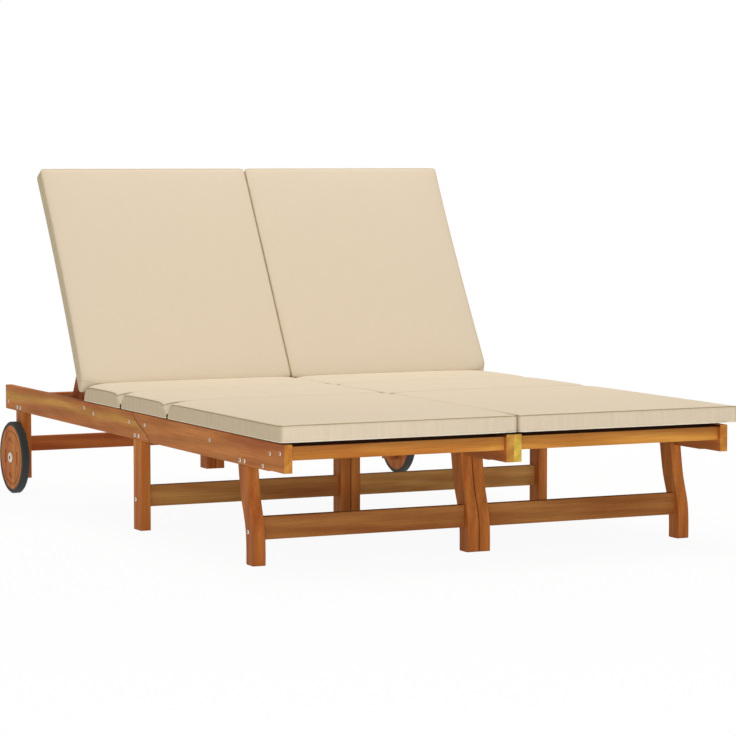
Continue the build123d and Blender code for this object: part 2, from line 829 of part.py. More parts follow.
# Folding props, standing in the racks
outer_prop_leg = on_prop(prop_leg())
add_pair("prop_legs", outer_prop_leg, to_inner(outer_prop_leg))
add_pair("prop_bar", on_prop(prop_bar()))
outer_prop_pin = on_backrest(prop_pin())
add_pair("prop_pins", outer_prop_pin, to_inner(outer_prop_pin))

# Wheels outside the outer rails
add_pair("wheel_disc", on_wheel(wheel_disc()))
add_pair("wheel_tyre", on_wheel(tyre()))
pieces["axle_bolts"] = both_sides(axle_bolt())
pieces["hub_caps"] = both_sides(hub_cap())

# Cushions: three seat pads and a back pad in each bay
seat_pads = (
    ("foot_pad", foot_pad_length, cushion_foot_start),
    ("middle_pad", middle_pad_length, middle_pad_start),
    ("rear_pad", seat_pad_end - rear_pad_start, rear_pad_start),
)
left_pad_middle = pad_width / 2 - cushion_overhang
pad_middles = {"left": left_pad_middle, "right": left_pad_middle + pad_width + pad_gap}
for side, pad_middle in pad_middles.items():
    for name, length, start in seat_pads:
        pieces[side + "_" + name] = [Pos(pad_middle, start + length / 2, seat_pad_base) * pad(length)]
    back_pad = Pos(pad_middle, back_pad_start + back_pad_length / 2, pad_back_level) * pad(back_pad_length)
    pieces[side + "_back_pad"] = [on_backrest(back_pad)]

# Fasteners
leg_bolts = []
bay_bolts = []
for y, thickness in leg_bolt_lines():
    z = bolt_height()
    leg_bolts += both_sides(pan_bolt(0, thickness - bolt_end_cover, y, z))
    far_side = bay_width + thickness
    bay_bolt = pan_bolt(bay_width - thickness, far_side, y, z)
    bay_bolts.append(bay_bolt + six_sided_bar(far_side, far_side + nut_height, y, z, nut_radius))
pieces["leg_bolts"] = leg_bolts
pieces["bay_bolts"] = bay_bolts
stretcher_screws = []
for y, z, leg in stretcher_bolt_lines:
    stretcher_screws += both_sides(pan_bolt(0, leg + stretcher_bolt_bite, y, z, screw_radius))
pieces["stretcher_screws"] = stretcher_screws
pieces["crossbar_dowels"] = [piece for dowel in dowels for piece in both_sides(dowel)]

os.makedirs("parts", exist_ok=True)
to_middle = Pos(-middle_x, -middle_y, 0)
for name, solids in pieces.items():
    placed = [to_middle * solid for solid in solids]
    export_step(placed[0] if len(placed) == 1 else Compound(children=placed), "parts/" + name + ".step")
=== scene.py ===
"""The looks of a double wooden sun lounger: oiled wood, zinc screws, wheels and canvas cushions."""

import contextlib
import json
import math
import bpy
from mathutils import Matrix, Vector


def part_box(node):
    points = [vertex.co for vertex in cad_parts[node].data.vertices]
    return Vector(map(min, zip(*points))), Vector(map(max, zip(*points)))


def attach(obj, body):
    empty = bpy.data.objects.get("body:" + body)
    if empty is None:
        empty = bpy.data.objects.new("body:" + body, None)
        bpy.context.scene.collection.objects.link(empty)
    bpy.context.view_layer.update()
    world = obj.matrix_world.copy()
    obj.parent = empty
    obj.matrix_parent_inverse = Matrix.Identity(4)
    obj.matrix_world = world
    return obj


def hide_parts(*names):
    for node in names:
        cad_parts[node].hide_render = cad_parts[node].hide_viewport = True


bl_info = {
    "name": "Double sun lounger",
    "version": (1, 0, 0),
    "blender": (4, 5, 0),
    "location": "3D View > Sidebar > Lounger",
    "description": "Finishes the wood and metal, and makes the cushions, screws and studio",
    "category": "Object",
}

import bpy

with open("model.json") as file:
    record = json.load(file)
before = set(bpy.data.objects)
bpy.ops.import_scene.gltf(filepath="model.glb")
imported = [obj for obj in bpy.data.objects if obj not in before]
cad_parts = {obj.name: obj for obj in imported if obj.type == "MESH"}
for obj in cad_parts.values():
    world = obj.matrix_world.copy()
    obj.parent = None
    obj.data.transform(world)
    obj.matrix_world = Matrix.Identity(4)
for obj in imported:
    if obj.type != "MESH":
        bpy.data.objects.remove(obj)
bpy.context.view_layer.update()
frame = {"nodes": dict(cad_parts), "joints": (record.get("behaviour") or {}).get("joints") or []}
SIDES = ("left", "right")
# The raised backrest's angle, and its pad's start, length and height, measured from the hinge
BACK_ANGLE = math.radians(60)
BACK_PAD_START = 0.0338557
BACK_PAD_LENGTH = 0.6265
BACK_PAD_LEVEL = 0.0253
# Slope of the rails' curved joint where its two arcs meet
JOINT_SLOPE = math.radians(15)
MEETING_LINE = (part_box("left_front_legs")[1].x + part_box("right_front_legs")[0].x) / 2
END_FACE_DEPTH = 0.0006
# How far from the meeting line the cushions cover the rails, and the depth of the painted shade along
# their tops
COVERED_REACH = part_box("right_outer_front_rail")[0].x - MEETING_LINE
SHADED_TOP = 0.008
# A rear rail's pale band: its height and half its width, by the rail's height
SAPWOOD_LEVEL, SAPWOOD_SHARE = 0.62, 0.25
# Depths in a wheel's face at which the painted shade on a groove's wall fades in, and out
WALL_SHADE_START = (0.0002, 0.0005)
WALL_SHADE_END = (0.00145, 0.0012)
# Painted shade on the wood: near a cushion, in a wheel's grooves, under a cushion, and darkest
NEAR_PAD_SHADE = (0.16, 0.05, 0.02)
GROOVE_SHADE = (0.09, 0.03, 0.012)
UNDER_PAD_SHADE = (0.02, 0.006, 0.004)
DARKEST_SHADE = (0.01, 0.003, 0.002)
# What turns the wood red and golden, and the late wood's share of red, green and blue
RED_TURN = (0.84, 0.66, 0.5)
GOLD_TURN = (1.14, 1.22, 1.1)
DARK_SHARES = (1, 0.82, 0.66)
# Rail screws: below the rail's top, and from its foot end, its joint and the seat's end
SCREW_DROP = 0.025
FRONT_SCREWS = (0.075, 0.411)
JOINT_SCREWS = (-0.026, 0.078)
SEAT_END_SCREW = 0.066
# The low screw by the front leg: from the foot end, and above the rail's base
LOW_SCREW = (0.113, 0.009)
# The middle of each leg's two bolts from the leg's foot side, their spread and their height
BOLT_MIDDLES = (("front", 0.063), ("mid", 0.024), ("wheel", 0.0245))
BOLT_SPREAD, BOLT_RISE = 0.012, 0.01
STRETCHER_SCREW_RISE = 0.018
# A screw head's bevel and its socket's depth, by its height
RIM_SHARE = 0.6
# How far a pad's end borders lie from its top on the flat map; its side borders lie twice as far
BORDER_SHIFT = 10.0
# Painted shade: the side borders' cloth is darkened and turned more yellow
SIDE_SHADE = (0.88, 0.86, 0.80)
# Slubs in the threads and puckers in the borders, per metre along the map's axes
SLUBS_PER_METRE = (60.0, 900.0, 1.0)
PUCKERS_PER_METRE = (75.0, 5.0, 1.0)
# How steeply a pad's crown falls at an edge that meets a pad, and at a free one
FOLD_FALL, FREE_FALL = 14, 6
# How much of a crown's height comes from the cloth, not from its formula
CLOTH_SHARE = 0.2
# Depth and height of a tape loop, by the ring it is bent from
TIE_DEPTH_SHARE, TIE_HEIGHT_SHARE = 0.7, 0.9
# Each wave of a seam's gathers: its share, its length and where it starts
GATHERS = ((0.45, 0.023, 0.0), (0.3, 0.0137, 1.3), (0.25, 0.041, 0.7))
# Depth of the gathers halfway up a border, by their depth at its seams
GATHER_WAIST = 0.35
END_GATHER_SHIFT = 0.31
# The sag's reach underneath a pad, which has to clear the rail's top
SAG_REACH_BELOW = 0.002
# How far a pad's side may swell towards the pad beside it
NEIGHBOUR_ROOM = 0.0003
# A fold line's notch where a pad meets the other bay's, by the full notch
INNER_NOTCH = 0.3
TINY = 1e-5
# Each seat pad, and whether its foot end and its head end are fold lines
SEAT_PADS = (("foot_pad", (False, True)), ("middle_pad", (True, True)), ("rear_pad", (True, True)))
# The floor's radius and its place under the feet, and where its shading fades out and is full
FLOOR_RADIUS, FLOOR_DROP = 14, 0.0005
SHADOW_FADE = (3.0, 1.2)
WARM_LIGHT = (1.0, 0.97, 0.84)
# Each lamp's name, place, lean and turn in degrees, depth and setting for its power
LAMPS = (
    ("overhead_lamp", (0.6, 0.9, 4.5), -8, 0, 3.0, "key"),
    ("front_lamp", (-2.0, -5.2, 0.52), 88, -21, 0.95, "front"),
)
LAMP_WIDTH = 3.2
# The camera that was fitted to the photograph, with its tilt and turn in degrees
CAMERA_PLACE = (-3.068075, -6.53858, 0.89214)
CAMERA_TILT, CAMERA_TURN = 4.1526, 25.717


def tone(code):
    """A colour written as six hex digits, as Blender's linear red, green and blue."""
    parts = [int(code[i : i + 2], 16) / 255 for i in (0, 2, 4)]
    return tuple(p / 12.92 if p <= 0.04045 else ((p + 0.055) / 1.055) ** 2.4 for p in parts)


def a_colour(thing, code):
    """The colour of one thing, written as six hex digits, that the panel shows."""
    return bpy.props.FloatVectorProperty(
        name=thing.capitalize(),
        description=f"Colour of the {thing}",
        default=tone(code),
        size=3,
        min=0,
        max=1,
        subtype="COLOR",
    )


def a_number(name, description, value, low=0.0, high=1000.0, **more):
    """A number that the panel shows."""
    return bpy.props.FloatProperty(
        name=name, description=description, default=value, min=low, max=high, **more
    )


def a_length(name, description, metres):
    """A length that the panel shows."""
    return a_number(name, description, metres, unit="LENGTH")


class LoungerWood(bpy.types.PropertyGroup):
    """Colours and grain of the oiled wood."""

    rail: a_colour("side rails", "CE8144")
    sapwood: a_colour("pale band in the rear rails", "E6AE58")
    leg: a_colour("legs", "CA7C3E")
    mid_leg: a_colour("middle legs", "DA8B49")
    stretcher: a_colour("stretchers", "B87C46")
    mid_stretcher: a_colour("stretchers of the middle legs", "CA9056")
    # Painted light: the right middle stretcher is paler than its twin, against the shade that falls on
    # it
    lightened_far_stretcher: a_colour("right middle stretcher", "EAB875")
    red_wood: a_colour("reddish stretchers and props", "C06E3C")
    crossbar: a_colour("crossbars at the foot end", "E09A4A")
    slat: a_colour("slats and hidden members", "A66C3A")
    left_end: a_colour("left inner rail's front end", "D69C4C")
    right_end: a_colour("right inner rail's front end", "E8C45C")
    outer_end: a_colour("outer rails' front ends", "DA9648")
    wheel: a_colour("wheel discs", "DA8745")
    recess: a_number("Recess shade", "Darkness of the wheels' grooves", 0.85, 0, 1)
    # Painted shade: this dark colour stands for the shade in the rails' curved joint, between the bays'
    # inner legs and on the first seat slat's front face
    joint: a_colour("painted shade in the rails' curved joint", "3A1D0E")
    joint_width: a_length("Joint line width", "Half the width of the dark joint line", 0.0018)
    dark: a_number("Dark grain", "How much darker the late wood is", 0.5, 0, 1)
    golden: a_number("Golden tone", "How far the tone turns to gold and red", 0.8, 0, 1)
    bands: a_number("Band strength", "Strength of the growth bands", 0.5, 0, 1)
    streaks: a_number("Streak strength", "Strength of the thin streaks", 0.6, 0, 1)
    grain_width: a_length("Grain width", "Width of one streak of grain", 0.006)
    figure_width: a_length("Figure width", "Width of one growth band", 0.016)
    roughness: a_number("Roughness", "Roughness of the oiled surface", 0.5, 0, 1)
    relief: a_length("Relief", "Depth of the open grain", 0.00025)


class LoungerCushions(bpy.types.PropertyGroup):
    """Sizes and colours of the cushions."""

    cover: a_colour("canvas", "EBDBC6")
    # Painted shade: the seats' upper seams are darker than the canvas, for the shade under their piping
    seam: a_colour("seams in the canvas", "B4A284")
    piped: a_colour("piping round the back pads", "E2D2B6")
    # Painted highlight: the lower seams are paler than the canvas
    hem: a_colour("lower seams", "FFF8E6")
    tape: a_colour("tape loops at the fold lines", "3B2A1E")
    tie_radius: a_length("Tie radius", "Radius of a loop before it is flattened", 0.006)
    tie_width: a_length("Tie width", "Width of the tape", 0.006)
    tie_thickness: a_length("Tie thickness", "Thickness of the tape", 0.0012)
    tie_inset: a_length("Tie inset", "How far a loop lies inside a pad's side", 0.006)
    thickness: a_length("Thickness", "Height of a pad's border", 0.04)
    cell: a_length("Cell", "Size of the cloth's mesh cells", 0.0105)
    piping: a_length("Piping", "Radius of the corded seams", 0.0012)
    corner: a_length("Corner radius", "Radius of a pad's corners", 0.006)
    waist: a_length("Waist", "Waist of a back pad's free side", 0.004)
    side_fill: a_length("Side fill", "How far the free sides swell", 0.0015)
    draw: a_length("Seam draw", "Most that the seams draw in a side", 0.0006)
    crown: a_length("Crown", "Swell of the top above its seam", 0.0065)
    side_sag: a_length("Side sag", "How far a seat pad's free side sags", 0.0025)
    sag_reach: a_length("Sag reach", "Reach of the sag on a pad's top", 0.025)
    corner_dip: a_length("Corner dip", "Dip of the upper seam at a fold line's end", 0.008)
    dip_reach: a_length("Dip reach", "Reach of the dip from a corner", 0.018)
    fold_reach: a_length("Fold reach", "Reach of the lean from a corner", 0.032)
    fold_lean: a_length("Fold lean", "How far the corners lean from a fold line", 0.024)
    pucker: a_length("Pucker", "Depth of the gathers along the seams", 0.0007)
    pressure: a_number("Pressure", "Air pressure that swells the pads", 4.0, 0, 50)
    gather: a_number("Gather", "How much the seams gather the cloth", 0.03, 0, 0.5)
    weave: a_length("Weave", "Distance between two threads", 0.0011)
    frames: bpy.props.IntProperty(name="Frames", description="Frames of the cloth", default=20, min=1)


class LoungerMetal(bpy.types.PropertyGroup):
    """Sizes and colours of the small metal pieces."""

    zinc: a_colour("plated screws", "EFE9E0")
    # Painted shade: the bolts between the bays are dark, for the shade that falls between the bays
    bronze: a_colour("darkened bolts between the bays", "4A3826")
    # Painted shade: the dark inside of a screw's socket, also the centre of a hub cap
    socket: a_colour("inside of a screw's socket", "5E3418")
    rubber: a_colour("tyres", "262B2A")
    cap: a_colour("hub caps", "E8DFD2")
    # Painted shade at a hub cap's centre, where its socket is sunk
    eye_shade_radius: a_length("Eye radius", "Radius of a hub cap's dark centre", 0.0055)
    head_radius: a_length("Head radius", "Radius of a screw's head", 0.0045)
    head_height: a_length("Head height", "Height of a screw's head", 0.0014)
    dome_height: a_length("Dome height", "Height of the dome on a bolt's head", 0.0008)
    socket_share: a_number("Socket share", "Width of a socket, by its head's", 0.85, 0, 1)


class LoungerStudio(bpy.types.PropertyGroup):
    """The studio around the lounger."""

    lens: a_number("Lens", "Focal length in millimetres", 142.44, 1)
    ambient: a_number("Ambient", "Strength of the even light", 0.52, 0, 10)
    key: a_number("Key", "Power of the lamp overhead", 106, unit="POWER")
    front: a_number("Front", "Power of the low front lamp", 80, unit="POWER")
    shadow_share: a_number("Floor shadow", "Share of the floor's shading that shows", 0.06, 0, 1)


# Pieces


def tune(thing, **values):
    """Sets several of a thing's attributes."""
    for key, value in values.items():
        setattr(thing, key, value)


def centre_of(name):
    """The middle of a node's box."""
    low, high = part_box(name)
    return (low + high) / 2


def choose(*pieces):
    """Selects only these pieces, the first as the active one."""
    bpy.ops.object.select_all(action="DESELECT")
    for piece in pieces:
        piece.select_set(True)
    bpy.context.view_layer.objects.active = pieces[0]


def settle(piece):
    """Puts a piece's place, turn and scale into its mesh."""
    choose(piece)
    bpy.ops.object.transform_apply(location=True, rotation=True, scale=True)


@contextlib.contextmanager
def editing(piece, chosen=None, kind="FACE"):
    """Edit mode on the active piece, with all of it selected or what passes the test chosen."""
    bpy.ops.object.mode_set(mode="EDIT")
    bpy.ops.mesh.select_mode(type=kind)
    bpy.ops.mesh.select_all(action="DESELECT" if chosen else "SELECT")
    if chosen:
        bpy.ops.object.mode_set(mode="OBJECT")
        for element in piece.data.polygons if kind == "FACE" else piece.data.vertices:
            element.select = chosen(element)
        bpy.ops.object.mode_set(mode="EDIT")
    yield
    bpy.ops.object.mode_set(mode="OBJECT")


def apply_modifier(piece, kind, **settings):
    """Adds a modifier to the active piece and applies it."""
    bpy.ops.object.modifier_add(type=kind)
    modifier = piece.modifiers[-1]
    tune(modifier, **settings)
    bpy.ops.object.modifier_apply(modifier=modifier.name)


def dress(piece, *materials):
    """Gives a piece these materials and no other."""
    piece.data.materials.clear()
    for material in materials:
        piece.data.materials.append(material)


def cylinder(radius, depth, place, **more):
    """A cylinder along X."""
    turn = (0, math.pi / 2, 0)
    bpy.ops.mesh.primitive_cylinder_add(
        vertices=24, radius=radius, depth=depth, location=place, rotation=turn, **more
    )
    piece = bpy.context.object
    settle(piece)
    return piece


def join(pieces, name):
    """Joins pieces into the first one."""
    choose(*pieces)
    bpy.ops.object.join()
    pieces[0].name = name
    pieces[0].data.name = name
    return pieces[0]


# Materials


def put(tree, socket, value):
    """Fills a socket from another socket, a number or a vector."""
    if isinstance(value, bpy.types.NodeSocket):
        tree.links.new(value, socket)
    else:
        socket.default_value = value


def wire(tree, node, sockets):
    """Fills a node's sockets, given by name or number, and returns the node."""
    for key, value in sockets.items():
        put(tree, node.inputs[key], value)
    return node


def add(tree, kind, sockets=None, **settings):
    """Adds a shader node of a kind, with its settings and its filled sockets."""
    node = tree.nodes.new("ShaderNode" + kind)
    tune(node, **settings)
    return wire(tree, node, sockets or {})


def maths(tree, operation, *values):
    """A Math node's result, from sockets or numbers."""
    return add(tree, "Math", dict(enumerate(values)), operation=operation).outputs[0]


def times(tree, first, second):
    """Two sockets or numbers multiplied."""
    return maths(tree, "MULTIPLY", first, second)


def plus(tree, first, second):
    """Two sockets or numbers added."""
    return maths(tree, "ADD", first, second)


def minus(tree, first, second):
    """The second socket or number taken from the first."""
    return maths(tree, "SUBTRACT", first, second)


def noise(tree, vector, scale=1.0, detail=2.0, roughness=0.5):
    """A noise pattern's value."""
    sockets = {"Vector": vector, "Scale": scale, "Detail": detail, "Roughness": roughness}
    return add(tree, "TexNoise", sockets).outputs["Fac"]


def parts(tree, vector):
    """A vector's X, Y and Z sockets."""
    return add(tree, "SeparateXYZ", {0: vector}).outputs


def scaled(tree, vector, factors):
    """Coordinates multiplied, axis by axis."""
    return add(tree, "VectorMath", {0: vector, 1: factors}, operation="MULTIPLY").outputs[0]


def off_axis(tree, place, y, z):
    """The distance from a line along X through the Y and Z given."""
    sockets = {0: scaled(tree, place, (0, 1, 1)), 1: (0, y, z)}
    return add(tree, "VectorMath", sockets, operation="DISTANCE").outputs["Value"]


def mix(tree, factor, first, second, blend="MIX"):
    """A colour mixed from two, each a socket or a colour."""
    node = add(tree, "Mix", {"Factor": factor}, data_type="RGBA", blend_type=blend)
    slots = [s for s in node.inputs if s.type == "RGBA"]
    for socket, value in zip(slots, (first, second)):
        put(tree, socket, value if isinstance(value, bpy.types.NodeSocket) else (*value[:3], 1))
    return [s for s in node.outputs if s.type == "RGBA"][0]


def ramp(tree, source, low, high):
    """Stretches a mask so that low becomes 0 and high becomes 1."""
    sockets = {"Value": source, "From Min": low, "From Max": high}
    return add(tree, "MapRange", sockets, clamp=True).outputs["Result"]


def new_group(name, inputs, outputs):
    """A node group with its input and output sockets; an input without a value is a vector."""
    tree = bpy.data.node_groups.new(name, "ShaderNodeTree")
    for label, value in inputs.items():
        kind = "NodeSocketVector" if value is None else "NodeSocketFloat"
        socket = tree.interface.new_socket(label, in_out="INPUT", socket_type=kind)
        if value is not None:
            socket.default_value = value
    for label in outputs:
        tree.interface.new_socket(label, in_out="OUTPUT", socket_type="NodeSocketFloat")
    return tree, tree.nodes.new("NodeGroupInput").outputs, tree.nodes.new("NodeGroupOutput").inputs


def stretched(tree, vector, across, along):
    """Coordinates for a pattern whose cells are across metres wide and along times as long."""
    each = maths(tree, "DIVIDE", 1.0, across)
    factors = add(tree, "CombineXYZ", {0: maths(tree, "DIVIDE", each, along), 1: each, 2: each})
    return scaled(tree, vector, factors.outputs[0])


def from_group(tree, label, sockets):
    """The outputs of a node group."""
    return add(tree, "Group", sockets, node_tree=bpy.data.node_groups[label]).outputs


def wood_grain_group():
    """Grain along X: slow tone, growth bands, fine streaks and open pores."""
    tree, source, result = new_group(
        "Wood grain",
        {"Vector": None, "Streak width": 0.006, "Band width": 0.016, "Pore width": 0.0009},
        ("Tone", "Bands", "Streaks", "Pores"),
    )
    vector, band = source["Vector"], source["Band width"]
    slow = stretched(tree, vector, times(tree, band, 3.0), 6.0)
    wide = stretched(tree, vector, band, 16.0)
    thin = stretched(tree, vector, source["Streak width"], 30.0)
    fine = stretched(tree, vector, source["Pore width"], 14.0)
    sockets = {"Vector": wide, "Scale": 0.28, "Distortion": 5.0, "Detail": 2.0, "Detail Scale": 0.8}
    waves = add(tree, "TexWave", sockets, bands_direction="DIAGONAL").outputs["Fac"]
    bands = times(tree, plus(tree, waves, noise(tree, wide, 0.7, 3.0, 0.55)), 0.5)
    # Each mask's pattern, and what becomes 0 and 1 in it
    for label, pattern, low, high in (
        ("Tone", noise(tree, slow), 0.36, 0.64),
        ("Bands", bands, 0.2, 0.85),
        ("Streaks", noise(tree, thin, 1.6, 6.0, 0.65), 0.32, 0.72),
        ("Pores", noise(tree, fine), 0.6, 0.72),
    ):
        put(tree, result[label], ramp(tree, pattern, low, high))


def canvas_group():
    """A plain weave from a flat map in metres: its height and the shade between its threads."""
    tree, source, result = new_group(
        "Canvas weave", {"Map": None, "Pitch": 0.0011}, ("Height", "Slub", "Cloud")
    )
    places = parts(tree, source["Map"])
    turns = []
    for axis in (0, 1):
        angle = maths(tree, "DIVIDE", times(tree, places[axis], math.pi), source["Pitch"])
        turns.append(maths(tree, "SINE", angle))
    over = maths(tree, "GREATER_THAN", times(tree, *turns), 0.0)
    rounds = [maths(tree, "ABSOLUTE", turn) for turn in turns]
    warp = times(tree, rounds[0], over)
    weft = times(tree, rounds[1], minus(tree, 1.0, over))
    put(tree, result["Height"], plus(tree, warp, weft))
    put(tree, result["Slub"], noise(tree, scaled(tree, source["Map"], SLUBS_PER_METRE)))
    put(tree, result["Cloud"], noise(tree, source["Map"], 7.0, 3.0))


def new_material(name):
    """A material with only a Principled BSDF, its node tree and that shader."""
    material = bpy.data.materials.new(name)
    material.use_nodes = True
    tree = material.node_tree
    return material, tree, tree.nodes["Principled BSDF"]


def thin_line(tree, off, settings):
    """A mask that is 1 on a dark line, by the distance to its middle."""
    return ramp(tree, off, settings.joint_width, 0.4 * settings.joint_width)


def sapwood_accent(tree, place, base, settings, box):
    """A pale band that wanders along the middle of a rear rail."""
    low, high = box
    half = SAPWOOD_SHARE * (high.z - low.z)
    middle = low.z + SAPWOOD_LEVEL * (high.z - low.z)
    drift = times(tree, minus(tree, noise(tree, place, 3.0, 1.0), 0.5), 2 * half)
    off = maths(tree, "ABSOLUTE", plus(tree, minus(tree, parts(tree, place)[2], middle), drift))
    band = times(tree, ramp(tree, off, half, 0.25 * half), 0.85)
    return mix(tree, band, base, settings.sapwood)


def rail_shade_accent(tree, place, base, settings, box):
    """Painted shade along a rail's top, inside the outer rails, where the cushions cover it."""
    places = parts(tree, place)
    off = maths(tree, "ABSOLUTE", minus(tree, places[0], MEETING_LINE))
    covered = maths(tree, "LESS_THAN", off, COVERED_REACH + END_FACE_DEPTH)
    rise = ramp(tree, places[2], box[1].z - SHADED_TOP, box[1].z - SHADED_TOP / 2)
    return mix(tree, times(tree, times(tree, rise, covered), 0.9), base, UNDER_PAD_SHADE)


def end_accent(colour_name):
    """An accent that gives a member's front face the colour named: a rail's end its own tone, a seat
    slat's painted shade.
    """

    def accent(tree, place, base, settings, box):
        face = maths(tree, "LESS_THAN", parts(tree, place)[1], box[0].y + END_FACE_DEPTH)
        return mix(tree, face, base, getattr(settings, colour_name))

    return accent


def crossbar_shade_accent(tree, place, base, settings, box):
    """Painted shade on a crossbar: darker towards its top, where the cushion covers it, and darkest on
    its top face.
    """
    low, high = box
    height = parts(tree, place)[2]
    top = maths(tree, "GREATER_THAN", height, high.z - END_FACE_DEPTH)
    rise = ramp(tree, height, low.z + 0.3 * (high.z - low.z), high.z)
    dimmed = mix(tree, times(tree, rise, 0.5), base, NEAR_PAD_SHADE)
    return mix(tree, top, dimmed, DARKEST_SHADE)


def meeting_shade_accent(tree, place, base, settings, box):
    """Painted shade: a dark line where the two bays' inner legs meet, midway between the bays."""
    off = maths(tree, "ABSOLUTE", minus(tree, parts(tree, place)[0], MEETING_LINE))
    return mix(tree, times(tree, thin_line(tree, off, settings), 0.7), base, settings.joint)


def groove_shade_accent(tree, place, base, settings, box):
    """Painted shade on the walls of the grooves and slots sunk in a wheel's faces."""
    low, high = box
    off = maths(tree, "ABSOLUTE", minus(tree, parts(tree, place)[0], (low.x + high.x) / 2))
    depth = minus(tree, (high.x - low.x) / 2, off)
    wall = times(tree, ramp(tree, depth, *WALL_SHADE_START), ramp(tree, depth, *WALL_SHADE_END))
    return mix(tree, times(tree, wall, settings.recess), base, GROOVE_SHADE)


def joint_line(tree, place, settings, ends):
    """A mask that is 1 on the two arcs of the rails' joint, between the corners in ends."""
    (y_low, z_low), (y_high, z_high) = ends
    half_y, half_z = (y_high - y_low) / 2, (z_high - z_low) / 2
    y, z = (y_low + y_high) / 2, (z_low + z_high) / 2
    radius = math.hypot(half_y, half_z) / (2 * math.sin(math.atan2(half_z, half_y) - JOINT_SLOPE))
    across, up = radius * math.sin(JOINT_SLOPE), radius * math.cos(JOINT_SLOPE)
    offs = []
    for side in (-1, 1):
        away = off_axis(tree, place, y - side * across, z + side * up)
        offs.append(maths(tree, "ABSOLUTE", minus(tree, away, radius)))
    upper = maths(tree, "GREATER_THAN", parts(tree, place)[1], y)
    lower = minus(tree, 1.0, upper)
    off = plus(tree, times(tree, offs[0], lower), times(tree, offs[1], upper))
    return thin_line(tree, off, settings)


def wood_material(name, colour, turn, settings, shift, accents, joint_ends):
    """Oiled wood whose grain runs along the way that turn brings to X, with its accents."""
    material, tree, shader = new_material(f"{name}_wood")
    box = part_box(name)
    place = add(tree, "TexCoord").outputs["Object"]
    sockets = {
        "Vector": place,
        "Rotation": [math.radians(a) for a in turn],
        "Location": (shift * 3.1, shift, shift * 1.7),
    }
    turned = add(tree, "Mapping", sockets).outputs[0]
    widths = {"Streak width": settings.grain_width, "Band width": settings.figure_width}
    grain = from_group(tree, "Wood grain", {"Vector": turned, **widths})
    base = tuple(colour)
    for accent in accents:
        base = accent(tree, place, base, settings, box)
    red = mix(tree, settings.golden, base, RED_TURN, "MULTIPLY")
    gold = mix(tree, settings.golden, base, GOLD_TURN, "MULTIPLY")
    wood = toned = mix(tree, grain["Tone"], red, gold)
    deep = mix(tree, 1.0, toned, [settings.dark * share for share in DARK_SHARES], "MULTIPLY")
    for label, share in (("Bands", settings.bands), ("Streaks", settings.streaks), ("Pores", 0.35)):
        wood = mix(tree, times(tree, grain[label], share), wood, deep)
    # Painted shade along the rails' curved joint
    if joint_ends:
        wood = mix(tree, joint_line(tree, place, settings, joint_ends), wood, settings.joint)
    height = plus(tree, times(tree, grain["Streaks"], 0.5), grain["Pores"])
    relief = {"Strength": 0.5, "Distance": settings.relief, "Height": height}
    sockets = {
        "Base Color": wood,
        "Roughness": plus(tree, times(tree, grain["Streaks"], 0.14), settings.roughness),
        "Normal": add(tree, "Bump", relief, invert=True).outputs[0],
        "Specular IOR Level": 0.16,
    }
    wire(tree, shader, sockets)
    return material


def canvas_material(name, colour, settings):
    """Matt woven cushion cloth."""
    material, tree, shader = new_material(name)
    flat = add(tree, "UVMap", uv_map="flat").outputs[0]
    weave = from_group(tree, "Canvas weave", {"Map": flat, "Pitch": settings.weave})
    level = parts(tree, flat)[1]
    border = maths(tree, "GREATER_THAN", level, 0.5 * BORDER_SHIFT)
    # side marks the side borders, whose cloth gets painted shade
    side = maths(tree, "GREATER_THAN", level, 1.5 * BORDER_SHIFT)
    folds = noise(tree, scaled(tree, flat, PUCKERS_PER_METRE))
    puckers = times(tree, ramp(tree, folds, 0.35, 0.65), border)
    dip = [c * 0.86 for c in colour]
    rise = [min(1.0, c * 1.03) for c in colour]
    cloth = mix(tree, weave["Height"], dip, rise)
    cloth = mix(tree, ramp(tree, weave["Slub"], 0.55, 0.8), cloth, [c * 0.9 for c in colour])
    cloth = mix(tree, times(tree, weave["Cloud"], 0.16), cloth, dip)
    # Painted shade in the puckers' folds, besides their bump
    cloth = mix(tree, times(tree, puckers, 0.5), cloth, dip)
    threads = {"Strength": 0.35, "Distance": 0.0004, "Height": weave["Height"]}
    woven = add(tree, "Bump", threads).outputs[0]
    gathered = {"Strength": 0.5, "Distance": 0.0015, "Height": puckers, "Normal": woven}
    sockets = {
        "Base Color": mix(tree, side, cloth, SIDE_SHADE, "MULTIPLY"),
        "Roughness": minus(tree, 0.95, times(tree, weave["Height"], 0.1)),
        "Normal": add(tree, "Bump", gathered, invert=True).outputs[0],
        "Sheen Weight": 0.03,
        "Sheen Roughness": 0.5,
        "Specular IOR Level": 0.08,
    }
    wire(tree, shader, sockets)
    return material


def hard_material(name, colour, cells, spread, roughness, metallic=0.0, eye_shade=None):
    """A hard finish with fine uneven tone: plated steel, rubber or plastic.

    eye_shade is a round spot of painted shade on both sides, for a sunk socket: a point on its axis,
    its radius and its colour.
    """
    material, tree, shader = new_material(name)
    place = add(tree, "TexCoord").outputs["Object"]
    specks = noise(tree, place, cells, 4.0, 0.6)
    dark = [c * (1 - spread) for c in colour]
    light = [min(1.0, c * (1 + spread)) for c in colour]
    finish = mix(tree, specks, dark, light)
    if eye_shade:
        centre, radius, tint = eye_shade
        away = off_axis(tree, place, centre.y, centre.z)
        finish = mix(tree, ramp(tree, away, radius, 0.8 * radius), finish, tint)
    relief = {"Strength": 0.3, "Distance": 0.0002, "Height": specks}
    sockets = {
        "Base Color": finish,
        "Roughness": plus(tree, times(tree, specks, 0.2), roughness - 0.1),
        "Normal": add(tree, "Bump", relief).outputs[0],
        "Metallic": metallic,
    }
    wire(tree, shader, sockets)
    return material


# The way a member's grain runs, as the turns that bring it to X, and its shift from member to member
GRAIN_X, GRAIN_Y, GRAIN_Z = (0, 0, 0), (0, 0, -90), (0, 90, 0)
GRAIN_BACK, GRAIN_PROP = (-60, 0, -90), (60, 0, -90)
GRAIN_SHIFT = 0.37

